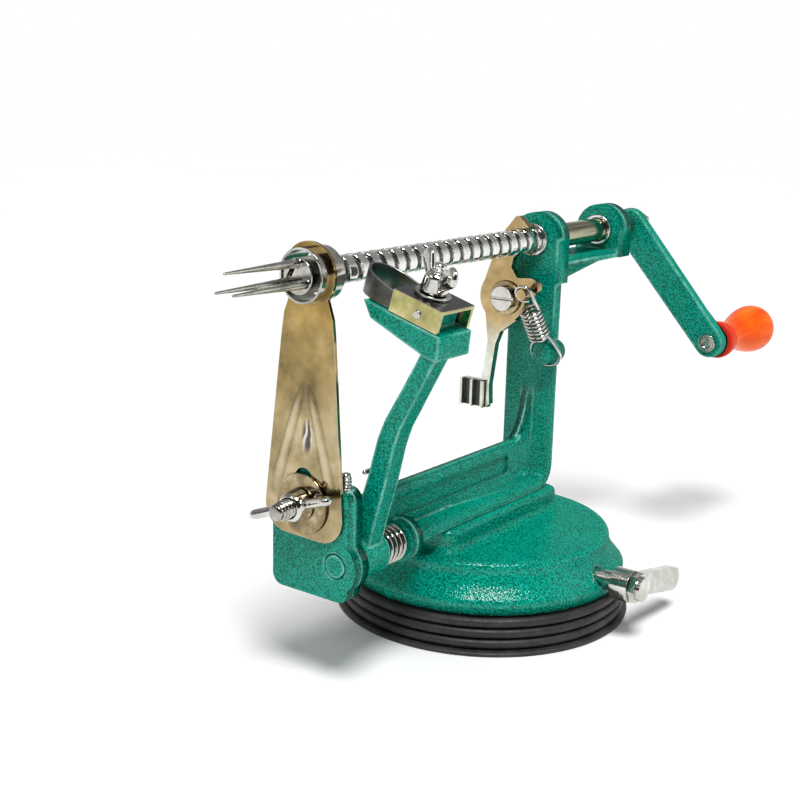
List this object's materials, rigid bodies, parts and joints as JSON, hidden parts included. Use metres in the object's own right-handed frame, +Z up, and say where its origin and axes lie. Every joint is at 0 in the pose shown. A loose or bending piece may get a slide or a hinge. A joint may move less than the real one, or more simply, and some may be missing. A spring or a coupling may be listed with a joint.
{
  "type": "apple peeler",
  "caption": "Hand cranked apple peeler, corer and slicer with a threaded drive screw in a cast frame, sprung peeling arm, coring blade and a suction base worked by a lever.",
  "frame": {"origin": "middle of the suction pad's underside, on the table", "axes": "+X along the drive screw from the fork to the crank, -Y the side of the peeling arm, +Z up"},
  "size_m": [0.3037, 0.127, 0.1494],
  "materials": {
    "green_enamel": "hammered gloss enamel on cast metal",
    "nickel": "polished nickel plate",
    "bright_steel": "bright drawn steel",
    "black_rubber": "moulded, matte",
    "orange_handle": "glossy orange lacquer on turned wood"
  },
  "bodies": {
    "stand": {"suction_base": "green_enamel", "suction_pad": "black_rubber", "base_screws": "bright_steel", "frame": "green_enamel", "front_bushing": "bright_steel", "rear_bushing": "bright_steel", "lever_pivot_screw": "nickel", "lever_washer": "nickel", "spring_anchor": "bright_steel", "arm_pivot_pin": "green_enamel", "blade_stud": "bright_steel", "blade_washer": "nickel", "slicing_blade": "nickel", "coring_ring": "nickel", "lever_spring": "bright_steel"},
    "feed_washer": {"thrust_washer": "bright_steel"},
    "drive": {"drive_screw": "bright_steel", "fork": "bright_steel", "crank_spacer": "bright_steel", "crank_arm": "green_enamel", "crank_nut": "bright_steel", "handle_axle": "bright_steel"},
    "handle": {"handle_knob": "orange_handle"},
    "blade_nut": {"blade_wing_nut": "nickel"},
    "lever": {"feed_lever": "nickel"},
    "arm": {"peeling_arm": "green_enamel", "arm_spring": "bright_steel", "blade_holder": "nickel", "peeling_blade": "bright_steel", "blade_rivets": "bright_steel", "holder_bolt": "bright_steel", "holder_washer": "nickel"},
    "holder_nut": {"holder_wing_nut": "nickel"},
    "suction_cam": {"cam_shaft": "bright_steel", "suction_lever": "nickel", "suction_lever_nut": "nickel"},
    "stem": {"draw_stem": "bright_steel"}
  },
  "joints": [
    {"name": "screw_feed", "type": "slide", "parent": "stand", "child": "feed_washer", "axis": [1, 0, 0], "range_m": [0, 0.1144]},
    {"name": "crank_turn", "type": "hinge", "parent": "feed_washer", "child": "drive", "pos_m": [0, 0, 0.139], "axis": [1, 0, 0], "range_deg": [0, 6480]},
    {"name": "handle_spin", "type": "hinge", "parent": "drive", "child": "handle", "pos_m": [0.137, -0.04108, 0.09256], "axis": [1, 0, 0], "continuous": true},
    {"name": "blade_nut_turn", "type": "hinge", "parent": "stand", "child": "blade_nut", "pos_m": [-0.11, 0.0018, 0.0646], "axis": [1, 0, 0], "continuous": true},
    {"name": "lever_release", "type": "hinge", "parent": "stand", "child": "lever", "pos_m": [0.0193, 0.0055, 0.1167], "axis": [-1, 0, 0], "range_deg": [0, 12], "stiffness_Nm_per_rad": 0.4, "springref_deg": -20.05, "deforming": ["lever_spring"]},
    {"name": "arm_swing", "type": "hinge", "parent": "stand", "child": "arm", "pos_m": [-0.0899, -0.0103, 0.0453], "axis": [1, 0, 0], "range_deg": [0, 48], "stiffness_Nm_per_rad": 0.5, "springref_deg": -34.38},
    {"name": "holder_nut_turn", "type": "hinge", "parent": "arm", "child": "holder_nut", "pos_m": [-0.0844, -0.03331, 0.1382], "axis": [0, -0.2756, 0.9613], "continuous": true},
    {"name": "suction_turn", "type": "hinge", "parent": "stand", "child": "suction_cam", "pos_m": [0, -0.06, 0.021], "axis": [0, -1, 0], "range_deg": [0, 120]},
    {"name": "stem_lift", "type": "slide", "parent": "stand", "child": "stem", "axis": [0, 0, 1], "range_m": [0, 0.00226]}
  ],
  "couplings": [
    {"joint": "screw_feed", "follows": "crank_turn", "m_per_rad": 0.0010106},
    {"joint": "stem_lift", "follows": "suction_turn", "m_per_rad": 0.0010751}
  ]
}
